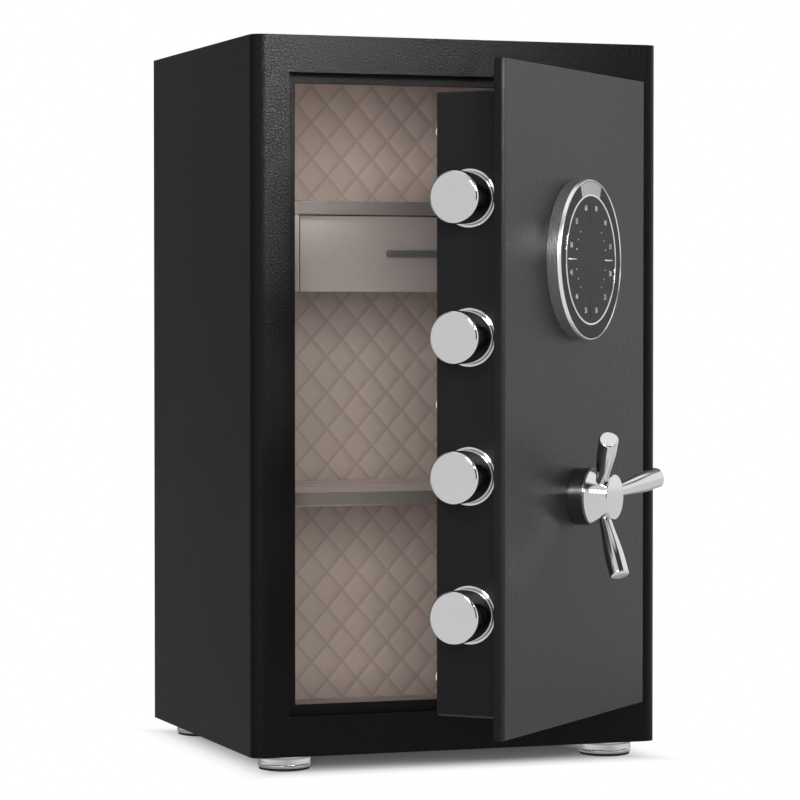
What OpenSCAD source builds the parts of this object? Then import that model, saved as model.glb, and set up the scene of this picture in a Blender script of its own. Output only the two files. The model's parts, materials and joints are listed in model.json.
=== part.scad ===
// Electronic safe with a hinged door, four round bolts, a drawer unit and a shelf.
// Millimetres. The floor it stands on is Z = 0, the middle of its footprint is X = Y = 0,
// the front faces -Y. The door stands open by door_open and turns about an upright pin.
// Door pieces are drawn in the closed place and swung open together by on_door().

/* [Cabinet] */
// Width of the cabinet
body_w = 364; // [350:1:400]
// Depth of the cabinet
body_d = 310; // [300:1:350]
// Height of the cabinet without its feet
body_h = 600; // [590:1:660]
// Thickness of the body sheet
wall = 3; // [2.5:0.5:3]
// Outer radius of the two front upright edges
corner_r = 11; // [9:1:12]
// Width of the front frame on the bolt side
frame_bolt_side = 31.5; // [30:0.5:34]
// Width of the front frame on the hinge side
frame_hinge_side = 29; // [28.5:0.5:30]
// Height of the front frame above the opening
frame_top = 31; // [28:0.5:36]
// Height of the front frame below the opening
frame_bottom = 34; // [30:0.5:38]
// Height of a foot
foot_h = 13.5; // [12:0.5:18]
// Diameter of a foot
foot_d = 45; // [40:1:48]

/* [Door] */
// How far the door stands open, in degrees
door_open = 45; // [0:5:100]
// Thickness of the door plate
plate_t = 9; // [8:0.5:9]
// Depth of the bolt box and its cover behind the door plate
box_d = 54; // [53:0.5:56]
// Inset of the bolt box from the two side edges of the door plate
box_inset = 12; // [12:0.5:14]
// Diameter of a bolt
bolt_d = 41.6; // [36:0.4:42]
// Height from one bolt to the next
bolt_pitch = 109; // [100:1:112]
// How far the bolts stand out of the door's edge when thrown
bolt_reach = 20; // [18:0.5:20.5]
// Travel of the bolts
bolt_travel = 30; // [29.5:0.5:30]

/* [Lock] */
// Diameter of the number dial
dial_d = 131.5; // [120:0.5:135]
// Thickness of the dial in front of the door
dial_t = 12.5; // [11.5:0.5:14]
// Height of the dial's centre above the middle of the door
dial_up = 111.3; // [100:1:120]
// Height of the handle's centre below the middle of the door
handle_down = 81.7; // [78:0.1:84]
// Distance from the handle's centre to the end of a spoke
spoke_reach = 65.5; // [60:0.5:70]
// Turn of the handle that draws the bolts back, in degrees
handle_turn = 90; // [80:1:92]

/* [Interior] */
// Height of the lower shelf's top above the body's underside
shelf_z = 215.5; // [190:1:240]
// Height of the drawer unit's top above the body's underside
unit_z = 464.8; // [440:0.2:480]
// Thickness of the two boards
board_t = 10.5; // [10:0.5:14]
// Height of the drawer front
drawer_h = 65.3; // [56:0.5:72]
// Width of the drawer front
drawer_w = 230; // [200:2:240]
// How far the boards stand behind the front of the cabinet
board_back = 72; // [72:1:80]
// How far the drawer front stands behind the front of the cabinet
drawer_back = 82; // [82:1:88]
// Sewing pitch of the quilted lining, across
quilt_u = 30; // [28:1:40]
// Sewing pitch of the quilted lining, upward
quilt_v = 33; // [30:1:40]

/* [Hidden] */
$fn = 96;

// Cabinet planes
half_w = body_w / 2;
front_y = -body_d / 2;
back_y = body_d / 2;
under_z = foot_h;
top_z = foot_h + body_h;
open_x0 = -half_w + frame_bolt_side;
open_x1 = half_w - frame_hinge_side;
open_z0 = under_z + frame_bottom;
open_z1 = top_z - frame_top;

// Stop frame behind the opening
stop_lip_side = 8;
stop_lip_end = 8.5;
stop_t = 3;
stop_depth = 12.5;

// Padded lining
pad_side = 8;
pad_back = 10;
pad_top = 10;
pad_bottom = 11;
pad_sink = 2.5;
pad_side_start = 50;
pad_floor_start = 15;
pad_x = half_w - wall - pad_side;
pad_y = back_y - wall - pad_back;
pad_z0 = under_z + wall + pad_bottom;
pad_z1 = top_z - wall - pad_top;

// Hinge
pin_side = 9;
pin_behind = 10;
pin_r = 3;
pin_fit = 0.05;
hinge_x = half_w - pin_side;
hinge_y = front_y + pin_behind;
barrel_r = 5;
arm_t = 5;
arm_h = 24;
arm_back = 31.5;
arm_end = 75;
arm_bend = 8;
ear_t = 4;
ear_gap = 0.5;
hinge_play = 3;
bolt_play = 2.5;
end_play = 1.8;

// Door
door_x0 = open_x0 + bolt_play;
door_x1 = open_x1 - hinge_play;
door_z0 = open_z0 + end_play;
door_z1 = open_z1 - end_play;
door_x = (door_x0 + door_x1) / 2;
door_z = (door_z0 + door_z1) / 2;
plate_y = front_y + plate_t;
plate_round = 1.5;
box_x0 = door_x0 + box_inset;
box_x1 = door_x1 - box_inset;
box_z0 = door_z0 + 15.2;
box_z1 = door_z1 - 24.2;
box_wall = 2;
box_flange = 16;
box_round_low = 5.5;
box_round_high = 2.5;
cover_t = 1.5;
cover_y = plate_y + box_d;
box_y1 = cover_y - cover_t;
screw_r = 4;
screw_head = 1;
screw_shank_r = 2;
screw_len = box_wall + cover_t;
screw_end = 31;
screw_inset = 7.5;
arm_z_low = door_z0 + arm_end;
arm_z_high = door_z1 - arm_end;

// Bolts
bolt_r = bolt_d / 2;
bolt_behind = 34.6;
bolt_y = front_y + bolt_behind;
bolt_low = door_z - 5.9 - 1.5 * bolt_pitch;
bolt_edge = 3;
bolt_fit = 0.1;
bolt_x0 = door_x0 - bolt_reach;
bolt_len = 68;
bolt_x1 = bolt_x0 + bolt_len;
bolt_tap = 15;
ring_r = bolt_r + 2.4;
ring_collar_r = bolt_r + 1.2;
ring_t = 2;
ring_collar = 5;
bolt_screw_r = 4;

// Carriage
slide_t = 4;
slide_off = 4;
slide_y = plate_y + slide_off;
slide_w = 60;
slide_front = 130;
slide_rise = 26;
tongue_z0 = -30;
tongue_z1 = 37;
flange_y1 = bolt_y + 18;
stud_r = 5;
stud_head_r = 8;
stud_head_t = 2;
stud_side = 0.4;
stud_in = 46;
stud_gap = 0.3;
stud_x = bolt_x1 + stud_in;
stud_z = [bolt_low + bolt_pitch / 2, bolt_low + 2.5 * bolt_pitch];

// Handle
handle_z = door_z - handle_down;
spindle_r = 7;
spindle_fit = 0.05;
base_r = 23.5;
base_t = 14.4;
hub_t = 19;
hub_r = 23.2;
hub_front_r = 18.2;
hub_socket = 12;
spoke_start = 12;
spoke_root_r = 14;
lever_t = 6;
lever_y = slide_y + slide_t + 2.5;
lever_pin_r = 4;
lever_pin_at = bolt_travel / (2 * sin(handle_turn / 2));
lever_slot_side = 0.8;
lever_w = 16;

// Dial
dial_z = door_z + dial_up;
dial_r = dial_d / 2;
dial_edge = 3;
dial_lip = 2.2;
dial_sink = 1.2;
dial_glass_r = dial_r * 0.785;
dial_ring_w = 1.8;
dial_ring_up = 0.8;
dial_hollow = 7.5;
dial_marker_half = 20.3;
board_r = 48;
board_th = 1.6;

// Solenoid and batteries
plunger_x = door_x + 19;
plunger_r = 3;
plunger_len = 26;
plunger_rest = 6;
solenoid_w = 24;
solenoid_t = 12;
solenoid_h = 34;
battery_w = 62;
battery_h = 116;
battery_t = 20;
battery_x = door_x + 62;
battery_z = door_z + 60;

// Interior
shelf_top = under_z + shelf_z;
unit_top = under_z + unit_z;
board_y0 = front_y + board_back;
trim_t = 1.6;
trim_lip = 7;
trim_over = 0.5;
edge_play = 0.5;
rail_t = 1.5;
rail_w = 12;
rail_setback = 43;
rail_behind = 2;
rail_y = board_y0 + rail_setback;
rail_len = pad_y - rail_behind - rail_y;
drawer_y0 = front_y + drawer_back;
drawer_t = 12;
drawer_top = unit_top - board_t - trim_over - 0.6;
drawer_z0 = drawer_top - drawer_h;
post_x = drawer_w / 2 + 3.5;
post_t = 10;
stile_t = 12;
tray_behind = 13;
tray_l = pad_y - tray_behind - drawer_y0 - drawer_t;
tray_h = 46;
tray_wall = 5;
runner_t = 11;
runner_h = 22;
rib_h = 8;
rib_w = 6;
rib_play = 0.4;
tray_half = post_x - runner_t;
tray_z0 = drawer_z0 + 8;
rib_z = tray_z0 + 26;
pull_l = 74;
pull_h = 5.5;
pull_d = 8;
pull_z = drawer_z0 + 33;

// Feet
foot_side = 36;
foot_end = 30;
foot_stud_r = 4;
pad_h = 2.5;
pad_r = foot_d / 2 - 1.2;
pad_sole_r = foot_d / 2 - 5;

// Anchor holes in the floor
anchor_r = 6;
anchor_x = 110;
anchor_y = 75;

// Outline of the cabinet seen from above, drawn in by inset on the sides and the front,
// and drawn out by past at the back
module footprint(inset, past = 0) {
    r = corner_r - inset;
    x = half_w - inset;
    y = front_y + inset;
    difference() {
        translate([-x, y]) square([2 * x, back_y + past - y]);
        for (side = [-1, 1])
            difference() {
                translate([side < 0 ? -x - 1 : x - r, y - 1]) square([r + 1, r + 1]);
                translate([side * (x - r), y + r]) circle(r);
            }
    }
}

// Swings whatever is drawn in the closed door's place to where the open door stands
module on_door() {
    translate([hinge_x, hinge_y, 0])
        rotate([0, 0, door_open])
            translate([-hinge_x, -hinge_y, 0]) children();
}

// Puts a shape drawn along +Z onto the door's face, standing outward, at height z
module on_face(z) {
    translate([door_x, front_y, z]) rotate([90, 0, 0]) children();
}

module casing() {
    color([0.25, 0.25, 0.26])
    difference() {
        translate([0, 0, under_z]) linear_extrude(body_h) footprint(0);
        translate([0, 0, under_z + wall]) linear_extrude(body_h - 2 * wall) footprint(wall, 1);
        translate([open_x0, front_y - 1, open_z0])
            cube([open_x1 - open_x0, wall + 2, open_z1 - open_z0]);
        for (x = [-1, 1], y = [-1, 1])
            translate([x * anchor_x, y * anchor_y, under_z - 1]) cylinder(r = anchor_r, h = wall + 2);
        for (i = [1:4])
            translate([foot_at(i)[0], foot_at(i)[1], under_z - 1]) cylinder(r = foot_stud_r, h = wall + 2);
    }
}

module back_panel() {
    color([0.2, 0.2, 0.21])
    translate([-half_w + wall, back_y - wall, under_z + wall])
        cube([body_w - 2 * wall, wall, body_h - 2 * wall]);
}

// Welded angle behind the opening: its return covers the cut edge, its lip stops the door
module stop_frame() {
    y0 = front_y + wall;
    y1 = front_y + stop_depth;
    color([0.16, 0.16, 0.17])
    difference() {
        translate([open_x0 - stop_t, y0, open_z0 - stop_t])
            cube([open_x1 - open_x0 + 2 * stop_t, y1 - y0, open_z1 - open_z0 + 2 * stop_t]);
        translate([open_x0, y0 - 1, open_z0])
            cube([open_x1 - open_x0, y1 - stop_t - y0 + 1, open_z1 - open_z0]);
        translate([open_x0 + stop_lip_side, y0, open_z0 + stop_lip_end])
            cube([open_x1 - open_x0 - 2 * stop_lip_side, y1 - y0 + 1,
                  open_z1 - open_z0 - 2 * stop_lip_end]);
        for (z = [arm_z_low, arm_z_high])
            translate([open_x1 - stop_lip_side - 1, y0 - 1, z - arm_h / 2 - 5])
                cube([stop_lip_side + stop_t + 2, y1 - y0 + 2, arm_h + 10]);
    }
}

// Two ears welded into the front corner, above and below a hinge arm's barrel
module hinge_bracket(z) {
    color([0.18, 0.18, 0.19])
    difference() {
        intersection() {
            for (side = [-1, 1])
                translate([hinge_x - 8, front_y, z + side * (arm_h / 2 + ear_gap + ear_t / 2) - ear_t / 2])
                    cube([half_w, pin_behind + 14, ear_t]);
            translate([0, 0, under_z]) linear_extrude(body_h) footprint(wall);
        }
        translate([hinge_x, hinge_y, z - arm_h]) cylinder(r = pin_r, h = 2 * arm_h);
    }
}

module hinge_bracket_top() { hinge_bracket(arm_z_high); }

module hinge_bracket_bottom() { hinge_bracket(arm_z_low); }

module hinge_pins() {
    reach = arm_h / 2 + ear_gap + ear_t;
    color([0.7, 0.7, 0.72])
    for (z = [arm_z_low, arm_z_high])
        translate([hinge_x, hinge_y, z - reach]) cylinder(r = pin_r, h = 2 * reach);
}

// Goose-neck arm: barrel on the pin, round the stop frame, onto the side of the bolt box
module hinge_arm(z) {
    leg = hinge_x - box_x1;
    right = barrel_r - 1;
    on_door() translate([hinge_x, hinge_y, z - arm_h / 2])
    color([0.16, 0.16, 0.17])
    difference() {
        linear_extrude(arm_h) {
            circle(barrel_r);
            translate([right - arm_t, 0]) square([arm_t, arm_back - arm_bend]);
            translate([-leg, arm_back - arm_t]) square([leg + right - arm_bend, arm_t]);
            translate([right - arm_bend, arm_back - arm_bend])
                intersection() {
                    difference() {
                        circle(arm_bend);
                        circle(arm_bend - arm_t);
                    }
                    square(arm_bend);
                }
        }
        translate([0, 0, -1]) cylinder(r = pin_r + pin_fit, h = arm_h + 2);
    }
}

module hinge_arm_top() { hinge_arm(arm_z_high); }

module hinge_arm_bottom() { hinge_arm(arm_z_low); }

// Quilted pad lying on the XY plane, w by d, t thick at the crowns. Sewn channels run
// slantwise: each cell of the half-pitch grid is split along the seam between its low corners.
module quilt(w, d, t, pitch_w, pitch_d) {
    nu = 2 * round(w / pitch_w);
    nv = 2 * round(d / pitch_d);
    function at(p, q) = p * (nv + 1) + q;
    function low(p, q) = (p + q) % 2 == 1 || p == 0 || q == 0 || p == nu || q == nv;
    top = [for (p = [0:nu], q = [0:nv]) [w * p / nu, d * q / nv, low(p, q) ? t - pad_sink : t]];
    base = [[0, 0, 0], [w, 0, 0], [w, d, 0], [0, d, 0]];
    b = len(top);
    cells = [for (p = [0:nu - 1], q = [0:nv - 1]) each
        (p + q) % 2 == 1
            ? [[at(p, q), at(p + 1, q + 1), at(p + 1, q)], [at(p, q), at(p, q + 1), at(p + 1, q + 1)]]
            : [[at(p, q), at(p, q + 1), at(p + 1, q)], [at(p + 1, q), at(p, q + 1), at(p + 1, q + 1)]]];
    front = concat([b + 1, b], [for (p = [0:nu]) at(p, 0)]);
    back = concat([b + 3, b + 2], [for (p = [nu:-1:0]) at(p, nv)]);
    left = concat([b, b + 3], [for (q = [nv:-1:0]) at(0, q)]);
    right = concat([b + 2, b + 1], [for (q = [0:nv]) at(nu, q)]);
    polyhedron(concat(top, base), concat(cells, [front, back, left, right, [b, b + 1, b + 2, b + 3]]));
}

pad_colour = [0.56, 0.5, 0.46];

module lining_back() {
    w = body_w - 2 * wall;
    h = body_h - 2 * wall;
    color(pad_colour)
    translate([-w / 2, back_y - wall, under_z + wall]) rotate([90, 0, 0])
        quilt(w, h, pad_back, quilt_u, quilt_v);
}

module lining_side(side) {
    d = pad_y - front_y - pad_side_start;
    h = pad_z1 - pad_z0;
    color(pad_colour)
    translate([side * (half_w - wall), side < 0 ? front_y + pad_side_start : pad_y, pad_z0])
        rotate([90, 0, side < 0 ? 90 : -90])
            quilt(d, h, pad_side, quilt_u, quilt_v);
}

module lining_left() { lining_side(-1); }

module lining_right() { lining_side(1); }

module lining_bottom() {
    w = body_w - 2 * wall;
    y0 = front_y + pad_floor_start;
    color(pad_colour)
    translate([-w / 2, y0, under_z + wall]) quilt(w, pad_y - y0, pad_bottom, quilt_u, quilt_v);
}

module lining_top() {
    w = body_w - 2 * wall;
    y0 = front_y + pad_floor_start;
    color(pad_colour)
    translate([w / 2, y0, top_z - wall]) rotate([0, 180, 0])
        quilt(w, pad_y - y0, pad_top, quilt_u, quilt_v);
}

// Board across the inside with its top at z, behind the metal strip on its front edge
module board(z) {
    y0 = board_y0 + trim_t;
    translate([-pad_x + edge_play, y0, z - board_t])
        cube([2 * (pad_x - edge_play), pad_y - edge_play - y0, board_t]);
}

// Channel-shaped metal strip that wraps the front edge of a board with its top at z
module board_trim(z) {
    difference() {
        translate([-pad_x + edge_play, board_y0, z - board_t - trim_over])
            cube([2 * (pad_x - edge_play), trim_t + trim_lip, board_t + 2 * trim_over]);
        translate([-pad_x, board_y0 + trim_t, z - board_t]) cube([2 * pad_x, trim_lip + 1, board_t]);
    }
}

module lower_shelf() { color([0.6, 0.54, 0.5]) board(shelf_top); }

module lower_shelf_trim() { color([0.62, 0.6, 0.58]) board_trim(shelf_top); }

module drawer_unit_top() { color([0.6, 0.54, 0.5]) board(unit_top); }

module drawer_unit_trim() { color([0.62, 0.6, 0.58]) board_trim(unit_top); }

// Angles under both boards, pressed into the side padding as deep as its seams
module shelf_rails() {
    x = pad_x + pad_sink;
    color([0.55, 0.55, 0.56])
    for (z = [shelf_top, unit_top], side = [-1, 1])
        translate([0, rail_y, z - board_t - rail_w])
            difference() {
                translate([side < 0 ? -x : x - rail_w - pad_sink, 0, 0])
                    cube([rail_w + pad_sink, rail_len, rail_w]);
                translate([side < 0 ? -x + rail_t : x - rail_t - rail_w - pad_sink, -1, -1])
                    cube([rail_w + pad_sink, rail_len + 2, rail_w + 1 - rail_t]);
            }
}

// Side of the drawer unit: a wide front stile and the upright partition beside the drawer
module drawer_unit_side(side) {
    z0 = drawer_z0;
    z1 = unit_top - board_t;
    y0 = board_y0 + trim_t;
    color([0.62, 0.58, 0.55])
    difference() {
        union() {
            translate([side < 0 ? -pad_x + edge_play : post_x, y0, z0])
                cube([pad_x - edge_play - post_x, stile_t, z1 - z0]);
            translate([side < 0 ? -post_x - post_t : post_x, y0, z0])
                cube([post_t, pad_y - edge_play - y0, z1 - z0]);
        }
        translate([-pad_x, y0 - 1, z1 - trim_over]) cube([2 * pad_x, trim_lip + 1, trim_over + 1]);
    }
}

module drawer_unit_left() { drawer_unit_side(-1); }

module drawer_unit_right() { drawer_unit_side(1); }

// Grooved runner fixed to the partition
module drawer_runner(side) {
    y0 = drawer_y0 + drawer_t + 2;
    color([0.3, 0.3, 0.31])
    difference() {
        translate([side < 0 ? -post_x : post_x - runner_t + rib_play, y0, rib_z - runner_h / 2])
            cube([runner_t - rib_play, tray_l, runner_h]);
        translate([side < 0 ? -tray_half - rib_w - rib_play : tray_half - 1, y0 - 1,
                   rib_z - rib_h / 2 - rib_play])
            cube([rib_w + rib_play + 1, tray_l + 2, rib_h + 2 * rib_play]);
    }
}

module drawer_runner_left() { drawer_runner(-1); }

module drawer_runner_right() { drawer_runner(1); }

module drawer_tray() {
    y0 = drawer_y0 + drawer_t;
    color([0.33, 0.31, 0.3]) {
        difference() {
            translate([-tray_half, y0, tray_z0]) cube([2 * tray_half, tray_l, tray_h]);
            translate([-tray_half + tray_wall, y0 + tray_wall, tray_z0 + tray_wall])
                cube([2 * (tray_half - tray_wall), tray_l - 2 * tray_wall, tray_h]);
        }
        for (side = [-1, 1])
            translate([side < 0 ? -tray_half - rib_w : tray_half, y0 + 4, rib_z - rib_h / 2])
                cube([rib_w, tray_l - 8, rib_h]);
    }
}

module drawer_front() {
    color([0.64, 0.6, 0.57])
    translate([-drawer_w / 2, drawer_y0, drawer_z0]) cube([drawer_w, drawer_t, drawer_h]);
}

module drawer_pull() {
    color([0.3, 0.28, 0.27])
    translate([-pull_l / 2, drawer_y0 - pull_d, pull_z - pull_h / 2])
        difference() {
            cube([pull_l, pull_d, pull_h]);
            translate([-1, pull_d / 2, -1]) cube([pull_l + 2, pull_d / 2 - 2, 1 + pull_h / 3]);
        }
}

function foot_at(i) = [(i % 2 == 1 ? -1 : 1) * (half_w - foot_side),
                       i <= 2 ? front_y + foot_end : back_y - foot_end];

// Turned foot: thin flange, wide band, chamfer, and a stud through the floor of the casing
module foot(i) {
    r = foot_d / 2;
    color([0.8, 0.8, 0.82])
    translate([foot_at(i)[0], foot_at(i)[1], 0])
        rotate_extrude()
            polygon([[0, pad_h], [r - 1, pad_h], [r - 0.3, pad_h + 0.8],
                     [r - 0.3, foot_h - 2], [r, foot_h - 1.6], [r, foot_h], [foot_stud_r, foot_h],
                     [foot_stud_r, foot_h + wall], [0, foot_h + wall]]);
}

module foot_1() { foot(1); }

module foot_2() { foot(2); }

module foot_3() { foot(3); }

module foot_4() { foot(4); }

module foot_pads() {
    color([0.08, 0.08, 0.08])
    for (i = [1:4])
        translate([foot_at(i)[0], foot_at(i)[1], 0])
            rotate_extrude()
                polygon([[0, 0], [pad_sole_r, 0], [pad_r, 0.9], [pad_r, pad_h], [0, pad_h]]);
}

module door_plate() {
    w = door_x1 - door_x0;
    h = door_z1 - door_z0;
    on_door() color([0.34, 0.34, 0.35])
    difference() {
        translate([door_x0, front_y, door_z0]) cube([w, plate_t, h]);
        for (x = [door_x0, door_x1])
            translate([x, front_y, door_z0 - 1]) rotate([0, 0, 45])
                translate([-plate_round, -plate_round]) cube([2 * plate_round, 2 * plate_round, h + 2]);
        on_face(handle_z) translate([0, 0, -plate_t - 1])
            cylinder(r = spindle_r + spindle_fit, h = plate_t + 2);
    }
}

// Section of the bolt box across the door: square shouldered at the top, rounder below
module box_outline(inset) {
    x0 = box_x0 + inset;
    x1 = box_x1 - inset;
    z0 = box_z0 + inset;
    z1 = box_z1 - inset;
    low = box_round_low - inset;
    high = max(box_round_high - inset, 0.5);
    translate([x0, z0 + low]) square([x1 - x0, z1 - high - z0 - low]);
    translate([x0 + low, z0]) square([x1 - x0 - 2 * low, low + 1]);
    translate([x0 + high, z1 - high - 1]) square([x1 - x0 - 2 * high, high + 1]);
    for (x = [x0 + low, x1 - low]) translate([x, z0 + low]) circle(low);
    for (x = [x0 + high, x1 - high]) translate([x, z1 - high]) circle(high);
}

// Extrudes an outline drawn in X and Z from y0 to y1
module across(y0, y1) {
    translate([0, y1, 0]) rotate([90, 0, 0]) linear_extrude(y1 - y0) children();
}

// Folded sheet box round the bolt work, with flanges that take the cover's screws
module door_box() {
    on_door() color([0.13, 0.13, 0.14])
    difference() {
        across(plate_y, box_y1) box_outline(0);
        across(plate_y - 1, box_y1 - box_wall) box_outline(box_wall);
        across(box_y1 - box_wall - 1, box_y1 + 1)
            translate([box_x0 + box_flange, box_z0 + box_flange])
                square([box_x1 - box_x0 - 2 * box_flange, box_z1 - box_z0 - 2 * box_flange]);
        for (i = [0:3])
            translate([box_x0 - 1, bolt_y, bolt_low + i * bolt_pitch]) rotate([0, 90, 0])
                cylinder(r = ring_collar_r, h = box_wall + 2);
        cover_screw_places() cylinder(r = screw_shank_r, h = 2 * screw_len + 2, center = true);
    }
}

module door_cover() {
    on_door() color([0.15, 0.15, 0.16])
    difference() {
        across(box_y1, cover_y) box_outline(0);
        cover_screw_places() cylinder(r = screw_shank_r, h = 2 * screw_len + 2, center = true);
    }
}

// Three places down each side of the cover, with +Z along the inward direction
module cover_screw_places() {
    for (x = [box_x0 + screw_inset, box_x1 - screw_inset],
         z = [box_z0 + screw_end, (box_z0 + box_z1) / 2, box_z1 - screw_end])
        translate([x, cover_y, z]) rotate([-90, 0, 0]) children();
}

module cover_screws() {
    on_door() color([0.5, 0.5, 0.52])
    cover_screw_places() rotate_extrude()
        polygon([[0, -screw_len], [screw_shank_r, -screw_len], [screw_shank_r, 0],
                 [screw_r, 0], [screw_r - 0.4, screw_head * 0.6], [screw_r - 1.5, screw_head],
                 [0, screw_head]]);
}

// Puts a shape drawn along +Z at bolt i, pointing toward the hinge, at distance x
module at_bolt(i, x) {
    on_door() translate([x, bolt_y, bolt_low + (i - 1) * bolt_pitch]) rotate([0, 90, 0]) children();
}

module bolt_ring(i) {
    bore = bolt_r + bolt_fit;
    at_bolt(i, box_x0) color([0.85, 0.85, 0.87])
    rotate_extrude()
        polygon([[bore + 0.4, -ring_t], [ring_r - 0.8, -ring_t], [ring_r, -ring_t + 0.8], [ring_r, 0],
                 [ring_collar_r, 0], [ring_collar_r, ring_collar], [bore, ring_collar],
                 [bore, -ring_t + 0.4]]);
}

module bolt_ring_1() { bolt_ring(1); }

module bolt_ring_2() { bolt_ring(2); }

module bolt_ring_3() { bolt_ring(3); }

module bolt_ring_4() { bolt_ring(4); }

// Round bolt with a rounded nose and a tapped hole for the screw that holds it
module bolt(i) {
    at_bolt(i, bolt_x0) color([0.86, 0.86, 0.88])
    rotate_extrude()
        difference() {
            union() {
                translate([0, bolt_edge]) square([bolt_r, bolt_len - bolt_edge]);
                square([bolt_r - bolt_edge, bolt_len]);
                intersection() {
                    translate([bolt_r - bolt_edge, bolt_edge]) circle(bolt_edge);
                    square([bolt_r, bolt_len]);
                }
            }
            translate([-1, bolt_len - bolt_tap]) square([bolt_screw_r + 1, bolt_tap + 1]);
        }
}

module bolt_1() { bolt(1); }

module bolt_2() { bolt(2); }

module bolt_3() { bolt(3); }

module bolt_4() { bolt(4); }

// Angle-shaped carriage: the flange carries the bolts, the plate slides behind the door plate
module carriage() {
    x0 = bolt_x1;
    z0 = bolt_low - slide_rise;
    z1 = bolt_low + 3 * bolt_pitch + slide_rise;
    hand = [door_x, slide_y, handle_z];
    on_door() color([0.66, 0.66, 0.68])
    difference() {
        union() {
            translate([x0, slide_y, z0]) cube([slide_t, flange_y1 - slide_y, z1 - z0]);
            translate([x0, slide_y, z0]) cube([slide_w, slide_t, z1 - z0]);
            translate([x0, slide_y, handle_z + tongue_z0])
                cube([slide_front, slide_t, tongue_z1 - tongue_z0]);
        }
        for (i = [0:3])
            translate([x0 - 1, bolt_y, bolt_low + i * bolt_pitch]) rotate([0, 90, 0])
                cylinder(r = bolt_screw_r, h = slide_t + 2);
        for (z = stud_z) slot(z, stud_r + stud_side);
        translate(hand + [-bolt_travel - spindle_r - 1.5, -1, -spindle_r - 1.5])
            cube([bolt_travel + 2 * (spindle_r + 1.5), slide_t + 2, 2 * (spindle_r + 1.5)]);
        lever_slot(hand);
        translate([plunger_x - plunger_r - 1.5, slide_y - 1, handle_z + tongue_z1 - 8])
            cube([2 * plunger_r + 3, slide_t + 2, 9]);
    }
}

// Round-ended slot through the carriage plate, as long as the travel, for a guide stud at height z
module slot(z, r) {
    for (x = [stud_x - bolt_travel, stud_x])
        translate([x, slide_y - 1, z]) rotate([-90, 0, 0]) cylinder(r = r, h = slide_t + 2);
    translate([stud_x - bolt_travel, slide_y - 1, z - r]) cube([bolt_travel, slide_t + 2, 2 * r]);
}

// Upright slot that the lever's pin rises and falls in as it drives the carriage
module lever_slot(hand) {
    low = lever_pin_at * cos(handle_turn / 2) - lever_pin_r - 1;
    high = lever_pin_at + lever_pin_r + 1;
    half = lever_pin_r + lever_slot_side;
    translate(hand + [-bolt_travel / 2 - half, -1, low]) cube([2 * half, slide_t + 2, high - low]);
}

module bolt_screws() {
    on_door() color([0.6, 0.6, 0.62])
    for (i = [0:3])
        translate([bolt_x1, bolt_y, bolt_low + i * bolt_pitch]) rotate([0, 90, 0]) {
            translate([0, 0, -bolt_tap + 1]) cylinder(r = bolt_screw_r, h = bolt_tap - 1 + slide_t);
            translate([0, 0, slide_t]) cylinder(r = 7.5, h = 5.3, $fn = 6);
        }
}

// Shouldered studs on the door plate that guide the carriage
module guide_studs() {
    on_door() color([0.6, 0.6, 0.62])
    for (z = stud_z)
        translate([stud_x, plate_y, z]) rotate([-90, 0, 0]) {
            cylinder(r = stud_r, h = slide_off + slide_t + stud_gap);
            translate([0, 0, slide_off + slide_t + stud_gap]) cylinder(r = stud_head_r, h = stud_head_t);
        }
}

module handle_base() {
    on_door() color([0.12, 0.12, 0.12])
    on_face(handle_z) rotate_extrude()
        polygon([[spindle_r + spindle_fit, 0], [base_r, 0], [base_r, base_t - 1.5],
                 [base_r - 1.5, base_t], [spindle_r + spindle_fit, base_t]]);
}

// Turned hub: back flange, waist that tapers forward, rounded front, socket for the spindle
module handle_hub() {
    on_door() color([0.85, 0.85, 0.87])
    on_face(handle_z) translate([0, 0, base_t]) rotate_extrude()
        polygon([[spindle_r, 0.2], [hub_r - 1, 0.2], [hub_r, 1.2], [hub_r, 2.8], [hub_r - 1.2, 4.2],
                 [hub_r - 2.6, 7.5], [hub_r - 3.6, 12], [hub_front_r, hub_t - 3],
                 [hub_front_r - 1, hub_t - 1.2], [hub_front_r - 3.2, hub_t], [0, hub_t],
                 [0, hub_socket], [spindle_r, hub_socket]]);
}

// Rounded cross-section of a spoke, w wide and t thick, square to a line raked outward
module spoke_section(r, lift, w, t, rake) {
    translate([r, 0, lift]) rotate([0, 90 - rake, 0]) linear_extrude(0.4)
        hull() for (y = [-1, 1]) translate([0, y * (w - t) / 2]) circle(t / 2, $fn = 24);
}

// Three round clubs that rise outward and swell to a blunt end
module handle_spokes() {
    front = base_t + hub_t;
    knee = spoke_reach * 0.62;
    on_door() color([0.85, 0.85, 0.87])
    on_face(handle_z)
    for (k = [0:2])
        rotate([0, 0, spoke_start + 120 * k]) {
            hull() {
                spoke_section(spoke_root_r, front - 8.5, 9.8, 9.6, 20);
                spoke_section(knee, front + 2.2, 14.4, 13.6, 22);
            }
            hull() {
                spoke_section(knee, front + 2.2, 14.4, 13.6, 22);
                spoke_section(spoke_reach - 1.4, front + 11.7, 16, 15.4, 24);
                spoke_section(spoke_reach - 0.4, front + 12.1, 14.4, 13.6, 26);
            }
        }
}

module spindle() {
    back = lever_y + lever_t - front_y + 1;
    on_door() color([0.6, 0.6, 0.62])
    on_face(handle_z) translate([0, 0, -back]) cylinder(r = spindle_r, h = back + base_t + hub_socket);
}

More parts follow.
